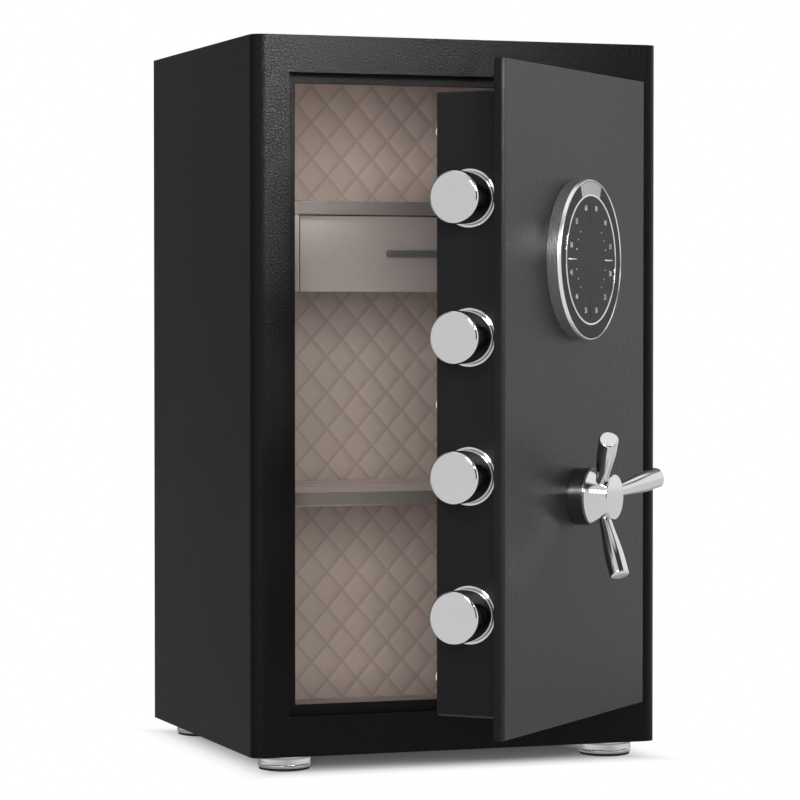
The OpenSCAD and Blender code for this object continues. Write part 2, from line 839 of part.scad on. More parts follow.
// Crank on the spindle; its pin reaches back through the carriage's upright slot
module lever() {
    at = lever_pin_at;
    drop = lever_y - slide_y - slide_t;
    on_door() color([0.62, 0.6, 0.5])
    translate([door_x, lever_y, handle_z]) rotate([0, -90 - handle_turn / 2, 0]) {
        difference() {
            union() {
                rotate([-90, 0, 0]) cylinder(r = lever_w * 0.75, h = lever_t);
                translate([at, 0, 0]) rotate([-90, 0, 0]) cylinder(r = lever_w / 2, h = lever_t);
                translate([0, 0, -lever_w / 2]) cube([at, lever_t, lever_w]);
            }
            translate([0, -1, 0]) rotate([-90, 0, 0]) cylinder(r = spindle_r, h = lever_t + 2);
        }
        translate([at, 1, 0]) rotate([90, 0, 0]) cylinder(r = lever_pin_r, h = drop + slide_t + 2);
    }
}

// Round housing of the number dial, hollow at the back for the board
module dial_body() {
    on_door() color([0.72, 0.72, 0.74])
    on_face(dial_z) rotate_extrude()
        difference() {
            union() {
                square([dial_r, dial_t - dial_edge]);
                square([dial_r - dial_edge, dial_t]);
                intersection() {
                    translate([dial_r - dial_edge, dial_t - dial_edge]) circle(dial_edge);
                    square([dial_r, dial_t]);
                }
            }
            translate([-1, dial_t - dial_sink - 0.6]) square([dial_r - dial_lip + 1, 3]);
            translate([-1, -1]) square([board_r + 4, dial_hollow + 1]);
        }
}

// Flat ring between the rim and the inner ring, open where the marker sits
module dial_face() {
    on_door() color([0.12, 0.12, 0.13])
    on_face(dial_z) translate([0, 0, dial_t - dial_sink - 0.6]) linear_extrude(1)
        difference() {
            face_ring();
            marker_wedge();
        }
}

// Flat ring between the dial's rim and its inner ring
module face_ring() {
    difference() {
        circle(dial_r - dial_lip);
        circle(dial_glass_r + dial_ring_w);
    }
}

// Wedge that opens upward from the dial's centre
module marker_wedge() {
    half = dial_r * tan(dial_marker_half);
    polygon([[0, 0], [half, dial_r], [-half, dial_r]]);
}

module dial_marker() {
    on_door() color([0.9, 0.9, 0.9])
    on_face(dial_z) translate([0, 0, dial_t - dial_sink - 0.6]) linear_extrude(1.1)
        intersection() {
            face_ring();
            marker_wedge();
        }
}

module dial_ring() {
    on_door() color([0.86, 0.86, 0.88])
    on_face(dial_z) translate([0, 0, dial_t - dial_sink - 0.6]) rotate_extrude()
        translate([dial_glass_r, 0])
            polygon([[0, 0], [dial_ring_w, 0], [dial_ring_w, 1], [dial_ring_w - 0.7, 1 + dial_ring_up],
                     [0.7, 1 + dial_ring_up], [0, 1]]);
}

module dial_glass() {
    on_door() color([0.1, 0.1, 0.11])
    on_face(dial_z) translate([0, 0, dial_t - dial_sink - 0.6]) cylinder(r = dial_glass_r, h = 1.3);
}

module control_board() {
    on_door() color([0.1, 0.35, 0.2])
    on_face(dial_z) translate([0, 0, dial_hollow - board_th]) cylinder(r = board_r, h = board_th);
}

// Open-frame solenoid on the door plate, bored for its plunger
module solenoid() {
    z0 = handle_z + tongue_z1 + 9;
    on_door() color([0.5, 0.48, 0.42])
    difference() {
        translate([plunger_x - solenoid_w / 2, plate_y, z0]) cube([solenoid_w, solenoid_t, solenoid_h]);
        translate([plunger_x, slide_y + slide_t / 2, z0 - 1]) cylinder(r = plunger_r + pin_fit, h = 30);
    }
}

module plunger() {
    on_door() color([0.75, 0.75, 0.76])
    translate([plunger_x, slide_y + slide_t / 2, handle_z + tongue_z1 + plunger_rest])
        cylinder(r = plunger_r, h = plunger_len);
}

// Holder for four round cells on the back of the door plate
module battery_box() {
    on_door() color([0.1, 0.1, 0.1])
    difference() {
        translate([battery_x - battery_w / 2, plate_y, battery_z - battery_h / 2])
            cube([battery_w, battery_t, battery_h]);
        for (x = [-1, 1], z = [-1, 1])
            translate([battery_x + x * battery_w / 4.1, plate_y + 11, battery_z + z * battery_h / 4.1])
                cylinder(r = 7.3, h = 51, center = true);
        for (z = [-1, 1])
            translate([battery_x - battery_w / 2 + 7, plate_y + 11, battery_z + z * battery_h / 4.1 - 25.5])
                cube([battery_w - 14, 20, 51]);
    }
}

casing();
back_panel();
stop_frame();
hinge_bracket_top();
hinge_bracket_bottom();
hinge_pins();
lining_back();
lining_left();
lining_right();
lining_top();
lining_bottom();
lower_shelf();
lower_shelf_trim();
shelf_rails();
drawer_unit_top();
drawer_unit_trim();
drawer_unit_left();
drawer_unit_right();
drawer_runner_left();
drawer_runner_right();
foot_1();
foot_2();
foot_3();
foot_4();
foot_pads();
drawer_tray();
drawer_front();
drawer_pull();
door_plate();
door_box();
door_cover();
cover_screws();
hinge_arm_top();
hinge_arm_bottom();
bolt_ring_1();
bolt_ring_2();
bolt_ring_3();
bolt_ring_4();
guide_studs();
handle_base();
dial_body();
dial_face();
dial_marker();
dial_ring();
dial_glass();
control_board();
solenoid();
battery_box();
bolt_1();
bolt_2();
bolt_3();
bolt_4();
carriage();
bolt_screws();
handle_hub();
handle_spokes();
spindle();
lever();
plunger();
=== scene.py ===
# %% [markdown]
# An upright steel safe stands with its door ajar. The body is folded steel sheet under a
# textured powder coat, the door carries four chromed bolts, a number dial and a three-armed
# handle, and the inside is padded with quilted cloth round a shelf and a drawer.
# The rigid shapes come ready made from the CAD model. This lesson adds what CAD leaves out:
# finishes, soft cloth, polished turned parts, the marks on the dial, and the light.

# %% Load the CAD model as the fixed frame
import json
import math
import bmesh
import bpy
import numpy as np
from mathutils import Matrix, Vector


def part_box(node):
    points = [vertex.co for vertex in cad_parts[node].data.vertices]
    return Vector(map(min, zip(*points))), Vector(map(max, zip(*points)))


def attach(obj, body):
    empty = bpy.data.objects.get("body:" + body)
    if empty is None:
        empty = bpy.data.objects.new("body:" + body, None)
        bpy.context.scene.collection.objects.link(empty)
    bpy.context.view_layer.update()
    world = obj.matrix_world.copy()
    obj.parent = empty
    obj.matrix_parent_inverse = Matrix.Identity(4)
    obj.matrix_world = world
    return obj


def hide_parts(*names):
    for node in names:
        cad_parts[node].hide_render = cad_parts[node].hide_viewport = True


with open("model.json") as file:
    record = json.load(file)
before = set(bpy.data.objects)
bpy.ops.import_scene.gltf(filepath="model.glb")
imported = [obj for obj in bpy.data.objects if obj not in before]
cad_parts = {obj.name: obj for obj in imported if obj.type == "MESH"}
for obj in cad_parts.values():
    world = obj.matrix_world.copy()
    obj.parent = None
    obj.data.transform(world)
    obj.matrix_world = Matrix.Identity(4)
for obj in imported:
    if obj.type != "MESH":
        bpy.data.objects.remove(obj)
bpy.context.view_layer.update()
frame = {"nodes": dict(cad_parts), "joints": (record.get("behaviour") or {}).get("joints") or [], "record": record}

# %% [markdown]
# The camera comes first, because every later choice is judged through it. Its place and
# lens were worked out from the corners of the cabinet: a long lens, about three metres off,
# a little to the left of the safe and level with its lower half.

# %% Camera
def aim_camera(place, yaw, pitch, focal_pixels, frame_pixels=800):
    """Camera at place, turned yaw degrees right of +Y and pitch degrees below level.
    Lens in mm = focal length in pixels / width of the frame in pixels * width of the sensor."""
    data = bpy.data.cameras.new("studio_camera")
    data.sensor_width = 36.0
    data.lens = focal_pixels / frame_pixels * data.sensor_width
    data.clip_start, data.clip_end = 0.1, 60.0
    camera = bpy.data.objects.new("studio_camera", data)
    camera.location = place
    camera.rotation_euler = (math.pi / 2 - math.radians(pitch), 0.0, -math.radians(yaw))
    bpy.context.scene.collection.objects.link(camera)
    bpy.context.scene.camera = camera
    return camera


camera = aim_camera(place=(-0.9871, -2.7969, 0.3772), yaw=19.465, pitch=1.372,
                    focal_pixels=3340.4)
bpy.context.scene.view_settings.view_transform = "Standard"
print(f"camera lens {camera.data.lens:.1f} mm")

# %% [markdown]
# The door stands open, so everything on it lies on a slant. It is far easier to work in the
# place of the shut door, where sides are square to the axes, and to swing the result open at
# the end. Both turns are about the hinge pin, whose place and range the joint gives.

# %% Between the shut door and the open one
door_joint = next(j for j in frame["joints"] if j["name"] == "door_swing")
HINGE = np.array(door_joint["pos_m"], float)
OPEN = -math.radians(door_joint["range_deg"][0])


def turned(points, angle):
    """Points turned by angle about the upright line through the hinge pin:
    x' = x cos - y sin and y' = x sin + y cos, measured from the pin."""
    p = np.asarray(points, float).reshape(-1, 3) - HINGE
    c, s = math.cos(angle), math.sin(angle)
    return np.stack([c * p[:, 0] - s * p[:, 1], s * p[:, 0] + c * p[:, 1], p[:, 2]], 1) + HINGE


def swung(points):
    """From the place of the shut door to where the open door stands."""
    return turned(points, OPEN)


def corners_of(node):
    """All vertices of a CAD node, as an array."""
    mesh = frame["nodes"][node].data
    flat = np.zeros(len(mesh.vertices) * 3, np.float32)
    mesh.vertices.foreach_get("co", flat)
    return flat.reshape(-1, 3).astype(float)


def shut_box(node):
    """Lowest and highest corner of a door node in the place of the shut door."""
    p = turned(corners_of(node), -OPEN)
    return p.min(0), p.max(0)


def box_of(node):
    """Lowest and highest corner of a cabinet node."""
    return tuple(np.array(corner, float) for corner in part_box(node))


print("door plate, shut:", [v.round(4).tolist() for v in shut_box("door_plate")])

# %% [markdown]
# New pieces are surfaces on a grid of two parameters. The arrays are computed whole with
# numpy, and one helper turns them into a mesh: it merges the doubled points at seams and
# poles, points the faces outward and keeps sharp only the edges that are truly sharp.

# %% From arrays to meshes
def grid_faces(rows, columns, around=False):
    """The four corner numbers of every cell of a rows x columns grid of points;
    around also joins the last column to the first."""
    r, c = np.meshgrid(np.arange(rows - 1), np.arange(columns if around else columns - 1),
                       indexing="ij")
    n = (c + 1) % columns
    cells = np.stack([r * columns + c, r * columns + n, (r + 1) * columns + n,
                      (r + 1) * columns + c], -1)
    return cells.reshape(-1, 4)


def add_piece(name, points, faces, body, finish, stands_for=(), sharp=35.0):
    """Makes the mesh, lets it ride on its CAD body, and hides the nodes it stands for."""
    mesh = bpy.data.meshes.new(name)
    mesh.from_pydata(np.asarray(points, float).reshape(-1, 3).tolist(), [],
                     [list(map(int, f)) for f in faces])
    work = bmesh.new()
    work.from_mesh(mesh)
    bmesh.ops.remove_doubles(work, verts=work.verts, dist=2e-6)
    bmesh.ops.recalc_face_normals(work, faces=work.faces)
    work.to_mesh(mesh)
    work.free()
    mesh.shade_smooth()
    mesh.set_sharp_from_angle(angle=math.radians(sharp))
    piece = bpy.data.objects.new(name, mesh)
    bpy.context.scene.collection.objects.link(piece)
    piece.data.materials.append(finish)
    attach(piece, body)
    if stands_for:
        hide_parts(*stands_for)
    return piece


def even_shading(piece):
    """Flat faces beside small roundings stay flat in the shading: normals weighted by area."""
    weigh = piece.modifiers.new("even_shading", "WEIGHTED_NORMAL")
    weigh.keep_sharp = True
    return piece


def joined(shapes):
    """Several shapes (points, faces) as one: the point numbers in the faces move up by the
    count of the points before them."""
    points, faces, count = [], [], 0
    for shape, cells in shapes:
        points.append(shape.reshape(-1, shape.shape[-1]))
        faces += [[int(i) + count for i in cell] for cell in cells]
        count += len(points[-1])
    return np.concatenate(points), faces

# %% [markdown]
# Bolts, rings, the hub, the dial and the feet are all turned on a lathe, so one function
# makes them: a profile of radius against depth is carried round an axis. Real turned edges
# are never knife sharp, and the small rounding is what catches the light, so the corners of
# each profile are rounded before it is turned.

# %% Turned shapes
def rounded(corners, radii, steps=6):
    """Line through corners, each inner corner P replaced by the curve
    (1-t)^2 A + 2t(1-t) P + t^2 B, where A and B lie radius away from P on its two sides."""
    p = np.asarray(corners, float)
    t = np.linspace(0, 1, steps + 1)[:, None]
    line = [p[:1]]
    for before, here, after, r in zip(p[:-2], p[1:-1], p[2:], radii):
        back, on = before - here, after - here
        a = here + back / np.linalg.norm(back) * min(r, 0.49 * np.linalg.norm(back))
        b = here + on / np.linalg.norm(on) * min(r, 0.49 * np.linalg.norm(on))
        line.append((1 - t) ** 2 * a + 2 * t * (1 - t) * here + t ** 2 * b)
    line.append(p[-1:])
    return np.concatenate(line)


def turn_profile(profile, start, along, segments=128, ripple=None):
    """Turned surface: point = start + depth * along + radius * (cos a * side + sin a * up).
    ripple(radius, depth, a) gives an array that is added to the radius."""
    along = np.asarray(along, float) / np.linalg.norm(along)
    up = np.array([0, 0, 1.0]) if abs(along[2]) < 0.9 else np.array([0, 1.0, 0])
    side = np.cross(up, along)
    a = np.linspace(0, 2 * np.pi, segments, endpoint=False)[None, :]
    radius = np.repeat(profile[:, :1], segments, 1)
    if ripple is not None:
        radius = radius + ripple(profile[:, :1], profile[:, 1:], a)
    points = (np.asarray(start, float) + profile[:, 1, None, None] * along
              + radius[..., None] * (np.cos(a)[..., None] * side + np.sin(a)[..., None] * up))
    return points, grid_faces(len(profile), segments, around=True)

# %% [markdown]
# Finishes are node materials. Shader arithmetic is easier to read as ordinary Python, so a
# small class wraps a socket and overloads the operators: an expression adds Math nodes.
# Every other node comes from one method that takes its type, settings and inputs.

# %% A way to write shader maths
class Link:
    """The output of a node, which can be used in sums."""

    def __init__(self, finish, socket):
        self.finish, self.socket = finish, socket

    def maths(self, operation, *values):
        return self.finish.node("ShaderNodeMath", {"operation": operation},
                                dict(enumerate(values)))

    def __add__(self, other): return self.maths("ADD", self, other)
    def __radd__(self, other): return self.maths("ADD", other, self)
    def __sub__(self, other): return self.maths("SUBTRACT", self, other)
    def __rsub__(self, other): return self.maths("SUBTRACT", other, self)
    def __mul__(self, other): return self.maths("MULTIPLY", self, other)
    def __rmul__(self, other): return self.maths("MULTIPLY", other, self)
    def __pow__(self, other): return self.maths("POWER", self, other)
    def size(self): return self.maths("ABSOLUTE", self)
    def fraction(self): return self.maths("FRACT", self)
    def below(self, other): return self.maths("LESS_THAN", self, other)
    def highest(self, other): return self.maths("MAXIMUM", self, other)


class Shader:
    """A node tree in the making."""

    def __init__(self, tree):
        self.tree = tree

    def node(self, kind, settings=None, inputs=None, out=0):
        """A node of this kind: settings are its own choices, inputs the values or links of
        its sockets, and out is the socket that is read from it."""
        made = self.tree.nodes.new(kind)
        for key, value in (settings or {}).items():
            setattr(made, key, value)
        for key, value in (inputs or {}).items():
            if isinstance(value, Link):
                self.tree.links.new(value.socket, made.inputs[key])
            else:
                made.inputs[key].default_value = value
        return Link(self, made.outputs[out])

    def place(self, output="Object"):
        return self.node("ShaderNodeTexCoord", out=output)

    def parts(self, vector):
        made = self.node("ShaderNodeSeparateXYZ", inputs={0: vector}).socket.node
        return tuple(Link(self, made.outputs[i]) for i in range(3))

    def stretch(self, vector, scale, rotation):
        return self.node("ShaderNodeMapping", inputs={"Vector": vector, "Scale": scale,
                         "Rotation": rotation})

    def noise(self, vector, scale, detail=2.0, rough=0.5):
        return self.node("ShaderNodeTexNoise", inputs={"Vector": vector, "Scale": scale,
                         "Detail": detail, "Roughness": rough})

    def mix(self, share, a, b):
        return self.node("ShaderNodeMix", {"data_type": "RGBA"}, {0: share, 6: a, 7: b}, out=2)

    def ramp(self, value, low, high):
        """0 below low, 1 above high, smooth between."""
        return self.node("ShaderNodeMapRange", {"interpolation_type": "SMOOTHSTEP"},
                         {"Value": value, "From Min": low, "From Max": high})


class Finish(Shader):
    """A material in the making. fixed sets sockets of its Principled BSDF that stay even."""

    def __init__(self, name, fixed):
        self.material = bpy.data.materials.new(name)
        self.material.use_nodes = True
        super().__init__(self.material.node_tree)
        self.surface = self.tree.nodes["Principled BSDF"]
        for socket, value in fixed.items():
            self.surface.inputs[socket].default_value = value

    def feed(self, socket, value):
        self.tree.links.new(value.socket, self.surface.inputs[socket])
        return self

    def gloss(self, pattern, middle, swing):
        """Roughness that swings evenly about middle as the pattern goes from 0 to 1."""
        return self.feed("Roughness", pattern * swing + (middle - swing / 2))

    def relief(self, height, distance, strength=1.0):
        return self.feed("Normal", self.node("ShaderNodeBump", inputs={
            "Height": height, "Distance": distance, "Strength": strength}))


def grey(level, warm=0.0):
    """A colour of even level, a little redder and less blue where warm is above 0."""
    return (level * (1 + warm), level, level * (1 - warm / 2), 1.0)

# %% [markdown]
# Powder coat is sprayed as dust and melted on, which leaves a skin like orange peel. Two
# sizes of noise make its bumps; the coarse one also shifts the gloss a little, because the
# tops of the bumps are smoother than the hollows. Body, recess, door and the box behind the
# door were each sprayed apart, so each has its own depth of black, bump and gloss.

# %% Painted finishes
def powder_coat(name, level, rough, grain, depth, specular, rim=None):
    """grain is the width of one bump and depth its height, in metres. Roughness swings about
    rough by two noises, a strong one of the bumps and a weak one of the whole panel. Faces
    that look along rim, a level direction, get painted shade: a darker colour that stands in
    for the little light that falls on that side, and a duller gloss."""
    strong, weak = 0.16, 0.06
    paint = Finish(name, {"Specular IOR Level": specular})
    place = paint.place()
    coarse = paint.noise(place, 1 / grain, 2.0, 0.5)
    fine = paint.noise(place, 3.1 / grain, 1.0)
    cloudy = paint.noise(place, 9.0, 2.0)
    colour = paint.mix(coarse * 0.7 + cloudy * 0.3, grey(level * 0.9), grey(level * 1.1))
    gloss = coarse * strong + cloudy * weak + (rough - (strong + weak) / 2)
    if rim is not None:
        x, y, _ = paint.parts(paint.place("Normal"))
        # painted shade: faces that look along rim get a darker colour, as if little light reached them
        painted_shade = paint.ramp(x * rim[0] + y * rim[1], 0.8, 0.95)
        colour, gloss = paint.mix(painted_shade, colour, grey(level * 0.1)), gloss + painted_shade * 0.5
    paint.feed("Base Color", colour)
    paint.feed("Roughness", gloss)
    return paint.relief(coarse * 0.75 + fine * 0.25, depth).material


body_paint = powder_coat("body_paint", level=0.0030, rough=0.34, grain=0.0016, depth=0.00050,
                         specular=0.125)
recess_paint = powder_coat("recess_paint", level=0.0045, rough=0.5, grain=0.0013,
                           depth=0.0005, specular=0.12)
# rim points out of the door's free edge, which gets painted shade
door_paint = powder_coat("door_paint", level=0.008, rough=0.43, grain=0.0022, depth=0.0005,
                         specular=0.34, rim=(-math.cos(OPEN), -math.sin(OPEN)))
box_paint = powder_coat("box_paint", level=0.0072, rough=0.42, grain=0.0009, depth=0.00008,
                        specular=0.09)
print("painted finishes:", body_paint.name, recess_paint.name, door_paint.name, box_paint.name)

# %% [markdown]
# Polished chrome is nearly a mirror, so its look comes from what stands round it. Only its
# roughness varies, by a hair, as wiping does. Brushed metal is drawn over abrasive in one
# direction: noise stretched along that direction stands for the scratches. On a turned part
# they run round the axis, so there the noise reads the distance from the axis instead.

# %% Metals
def polished(name, level, rough, warm=0.0, metallic=1.0):
    """level is the share of light that it mirrors, and warm tints it towards brass."""
    metal = Finish(name, {"Metallic": metallic})
    wiped = metal.noise(metal.place(), 35.0, 3.0)
    metal.feed("Base Color", metal.mix(wiped, grey(level * 0.97, warm), grey(level, warm)))
    return metal.gloss(wiped, rough, 0.03).material


def brushed(name, level, rough, scratch, warm=0.0, metallic=1.0, depth=0.00002, contrast=0.12,
            turn=0.0):
    """scratch holds the noise scale along X, Y and Z, turned about Z by turn radians; the
    smallest is the brushing direction."""
    metal = Finish(name, {"Metallic": metallic})
    lines = metal.noise(metal.stretch(metal.place(), scratch, rotation=(0, 0, turn)), 1.0, 3.0,
                        0.6)
    metal.feed("Base Color", metal.mix(lines, grey(level * (1 - contrast), warm),
                                       grey(level * (1 + contrast), warm)))
    return metal.gloss(lines, rough, 0.14).relief(lines, depth).material


def spun_metal(name, level, rough, metallic, depth, centre, per_metre=900.0):
    """Lines that run round the axis through centre, a place on the shut door: noise that
    reads only the distance from the axis, sqrt(x^2 + z^2), and the depth along it, y, so
    that it is the same all the way round. depth is how deep the lines are."""
    metal = Finish(name, {"Metallic": metallic})
    at = metal.node("ShaderNodeMapping", {"vector_type": "TEXTURE"},
                    {"Vector": metal.place(), "Location": tuple(swung(centre)[0]),
                     "Rotation": (0, 0, OPEN)})
    x, y, z = metal.parts(at)
    away = (x * x + z * z) ** 0.5
    both = metal.node("ShaderNodeCombineXYZ", inputs={0: away * per_metre, 1: y * per_metre})
    lines = metal.noise(both, 3.0, 3.0, 0.7)
    metal.feed("Base Color", metal.mix(lines, grey(level * 0.78), grey(level * 1.12)))
    return metal.gloss(lines, rough, 0.2).relief(lines, depth).material


chrome = polished("chrome", 0.74, 0.045)
foot_chrome = polished("foot_chrome", 0.78, 0.10)
zinc = brushed("zinc", 0.55, 0.38, (220, 220, 220), contrast=0.2)
brass = brushed("brass", 0.5, 0.3, (150, 150, 150), warm=0.35)
trim_metal = polished("trim_metal", 0.48, 0.20, warm=0.14, metallic=0.74)
drawer_skin = brushed("drawer_skin", 0.35, 0.46, (700, 700, 110), warm=0.15, metallic=0.35,
                      depth=0.00003, contrast=0.10)
shelf_skin = brushed("shelf_skin", 0.90, 0.20, (4, 80, 80), warm=0.08, metallic=0.30,
                     depth=0.0012, contrast=0.20, turn=0.35)
rail_paint = powder_coat("rail_paint", level=0.06, rough=0.5, grain=0.0012, depth=0.0001,
                         specular=0.4)
pull_metal = brushed("pull_metal", 0.20, 0.40, (4, 800, 800), warm=0.05, metallic=0.6)
print("metals:", [m.name for m in (chrome, foot_chrome, zinc, brass, trim_metal, drawer_skin,
                                   shelf_skin, pull_metal)])

# %% [markdown]
# Plastics and rubber are plain, so they get a fine moulded grain. The dial's panel is dark
# glass over black; the light field above it is a pale lacquered inlay.

# %% Plastics, rubber, glass
def moulded(name, colour, rough, grain, depth, specular=0.5):
    """grain is the width of one spot and depth its height, in metres."""
    plastic = Finish(name, {"Specular IOR Level": specular})
    spots = plastic.noise(plastic.place(), 1 / grain, 2.0)
    darker = tuple(0.85 * c for c in colour[:3]) + (1.0,)
    plastic.feed("Base Color", plastic.mix(spots, darker, colour))
    return plastic.gloss(spots, rough, 0.1).relief(spots, depth).material


rubber = moulded("rubber", grey(0.012), 0.75, 0.001, 0.0001)
tray_plastic = moulded("tray_plastic", grey(0.07, 0.05), 0.55, 0.0007, 0.0001)
panel_glass = moulded("panel_glass", grey(0.013), 0.30, 0.01, 0.000005, specular=0.08)
ring_dark = moulded("ring_dark", grey(0.012), 0.35, 0.0012, 0.00001, specular=0.08)
inlay_light = moulded("inlay_light", grey(0.285), 0.35, 0.002, 0.000005, specular=0.3)
board_green = moulded("board_green", (0.02, 0.12, 0.05, 1), 0.4, 0.003, 0.00002)
coil_metal = moulded("coil_metal", grey(0.2, 0.05), 0.4, 0.003, 0.00003)
battery_black = moulded("battery_black", grey(0.02), 0.5, 0.0008, 0.0001)
mark_light = moulded("mark_light", grey(0.66), 0.5, 0.002, 0.000005)
mark_dark = moulded("mark_dark", grey(0.008), 0.5, 0.002, 0.000005)
print("dial finishes:", [m.name for m in (panel_glass, ring_dark, inlay_light, mark_light,
                                          mark_dark)])

# %% [markdown]
# Each CAD node knows its material slot, so one table gives every slot its finish. Nodes
# that a finer piece replaces further on get one too, because every slot has a finish. The
# CAD meshes have knife-sharp edges; a Weld and a narrow Bevel round them as folding and
# paint do, which gives the thin bright line that real edges show.

# %% Dress the CAD nodes
finish_of = {
    "body_paint": body_paint, "pin_steel": zinc, "lining": rubber, "shelf_board": shelf_skin,
    "trim_metal": trim_metal, "rail_steel": rail_paint, "drawer_skin": drawer_skin,
    "tray_plastic": tray_plastic, "pull_metal": pull_metal, "foot_chrome": foot_chrome,
    "foot_rubber": rubber, "door_paint": door_paint, "box_paint": box_paint,
    "bolt_chrome": chrome, "handle_black": rubber, "handle_chrome": chrome,
    "dial_metal": chrome, "dial_dark": ring_dark, "dial_light": inlay_light,
    "dial_chrome": chrome, "dial_glass": panel_glass, "board_green": board_green,
    "coil_steel": coil_metal, "battery_black": battery_black, "lever_brass": brass}
edge_of = {
    "casing": 0.0012, "stop_frame": 0.0006, "door_plate": 0.0008, "door_box": 0.0006,
    "door_cover": 0.0004, "lower_shelf_trim": 0.0013, "drawer_unit_trim": 0.0013,
    "drawer_front": 0.0005, "drawer_pull": 0.0005, "drawer_unit_left": 0.0004,
    "drawer_unit_right": 0.0004, "drawer_tray": 0.0008, "hinge_arm_top": 0.0005,
    "hinge_arm_bottom": 0.0005, "lower_shelf": 0.0004, "drawer_unit_top": 0.0004}


def soften(node, width):
    """Welds the loose triangles of a CAD node and rounds its sharp edges by width."""
    piece = frame["nodes"][node]
    weld = piece.modifiers.new("weld", "WELD")
    weld.merge_threshold = 1e-6
    bevel = piece.modifiers.new("edge", "BEVEL")
    bevel.width, bevel.segments = width, 2
    bevel.limit_method, bevel.angle_limit = "ANGLE", math.radians(40)
    bevel.harden_normals = True
    even_shading(piece)


for row in frame["record"]["subparts"]:
    piece = frame["nodes"][row["node"]]
    piece.data.materials.clear()
    piece.data.materials.append(finish_of[row["material_slot"]])
frame["nodes"]["stop_frame"].data.materials[0] = recess_paint
for node, width in edge_of.items():
    soften(node, width)
print(len(frame["nodes"]), "CAD nodes dressed,", len(edge_of), "with rounded edges")

# %% [markdown]
# The lining is foam under cloth, sewn down along two sets of slanting seams, so that it
# stands up in diamonds. Its height is a function of two running numbers, a and b, which
# grow by one from seam to seam: close to a seam the cloth dips sharply, and between seams
# it swells softly. The same two numbers go into the UV map, so that the finish can put a
# darker line and stitches exactly in the dips.

# %% Height of the quilting
QUILT_U, QUILT_V = 0.0295, 0.0333  # a diamond's width and height, in metres
SEAM_APART = QUILT_U * QUILT_V / math.hypot(QUILT_U, QUILT_V)
SEAM_SINK, SEAM_WIDTH = 0.0020, 0.0024  # how deep a seam pulls the cloth in, and how far out
BORDER = 0.006  # the pad eases down over this width at its edge
OUTER, RISE = 0.72, 0.28  # share of the height at the very edge, and what it gains inward


def quilt_numbers(u, v, shift_u, shift_v):
    """a = u/U + v/V and b = u/U - v/V: each is whole on its own set of seams."""
    p, q = (u - shift_u) / QUILT_U, (v - shift_v) / QUILT_V
    return p + q, p - q


def quilt_height(u, v, width, depth, thick, shift_u, shift_v):
    """thick - sink + swell * sqrt|sin(pi a) sin(pi b)| + rise * (1 - dip), where
    dip = exp(-(distance to the nearest seam / 2.4 mm)^2), all eased down at the borders."""
    a, b = quilt_numbers(u, v, shift_u, shift_v)
    swell, rise = 0.55 * SEAM_SINK, 0.45 * SEAM_SINK
    near = np.minimum(np.abs(a - np.round(a)), np.abs(b - np.round(b))) * SEAM_APART
    dip = np.exp(-(near / SEAM_WIDTH) ** 2)
    height = thick - SEAM_SINK + rise * (1 - dip) + swell * np.sqrt(
        np.abs(np.sin(np.pi * a) * np.sin(np.pi * b)))
    border = np.minimum(np.minimum(u, width - u), np.minimum(v, depth - v))
    ease = np.sqrt(np.clip(1 - (1 - np.clip(border / BORDER, 0, 1)) ** 2, 0, 1))
    return height * (OUTER + RISE * ease)


print(f"seams {1000 * SEAM_APART:.1f} mm apart")

# %% [markdown]
# Cloth shows three sizes of detail: the yarn, the soft shade in the dips where less light
# gets in, and the thread. The last two read the numbers a and b from the UV map: the
# distance to the nearest whole number is the distance to the nearest seam.

# %% Cloth for the lining
def quilt_cloth(name, light, dark, thread):
    """Close cloth: fine noise for the yarn, darker dips, short stitches along the seams."""
    half_thread, stitches, stitch_share = 0.00035, 9.0, 0.62
    cloth = Finish(name, {"Specular IOR Level": 0.25, "Sheen Weight": 0.12,
                          "Sheen Roughness": 0.5})
    place = cloth.place()
    a, b, _ = cloth.parts(cloth.place("UV"))
    off_a = ((a + 0.5).fraction() - 0.5).size() * SEAM_APART
    off_b = ((b + 0.5).fraction() - 0.5).size() * SEAM_APART
    dip_a, dip_b = (1 - cloth.ramp(off, 0.0001, 0.0018) for off in (off_a, off_b))
    stitch_a, stitch_b = (
        off.below(half_thread) * (along * stitches).fraction().below(stitch_share)
        for off, along in ((off_a, b), (off_b, a)))
    dip, stitch = dip_a.highest(dip_b), stitch_a.highest(stitch_b)
    yarn = cloth.noise(place, 1500.0, 2.0, 0.6)
    worn = cloth.noise(place, 14.0, 3.0)
    plain = cloth.mix(yarn * 0.6 + worn * 0.4, tuple(0.88 * c for c in light[:3]) + (1,), light)
    shaded = cloth.mix(dip * 0.65, plain, dark)
    cloth.feed("Base Color", cloth.mix(stitch * 0.5, shaded, thread))
    cloth.gloss(yarn, 0.80, 0.12)
    return cloth.relief(yarn * 0.6 + stitch * 1.2, 0.00012, 0.7).material


lining_cloth = quilt_cloth("lining_cloth", (0.527, 0.430, 0.383, 1), (0.31, 0.245, 0.217, 1),
                           (0.54, 0.45, 0.40, 1))
print("lining finish:", lining_cloth.name)

# %% [markdown]
# Every wall of the inside has one pad, and a pad is the same grid whatever wall it hangs
# on: only the axes change along which u, v and the height run. The back pad's seams are
# placed where they cross on the real one; on the others they start from a corner.

# %% The five pads
def sew(pad, u_axis, v_axis, corner, shift):
    """Writes a and b of every corner into the UV map, from where the corner lies."""
    mesh = pad.data
    flat = np.zeros(len(mesh.vertices) * 3, np.float32)
    mesh.vertices.foreach_get("co", flat)
    at = flat.reshape(-1, 3).astype(float) - corner
    a, b = quilt_numbers(at[:, u_axis], at[:, v_axis], *shift)
    which = np.zeros(len(mesh.loops), np.int32)
    mesh.loops.foreach_get("vertex_index", which)
    layer = mesh.uv_layers.new(name="seams")
    layer.data.foreach_set("uv", np.stack([a[which], b[which]], 1).astype(np.float32).ravel())


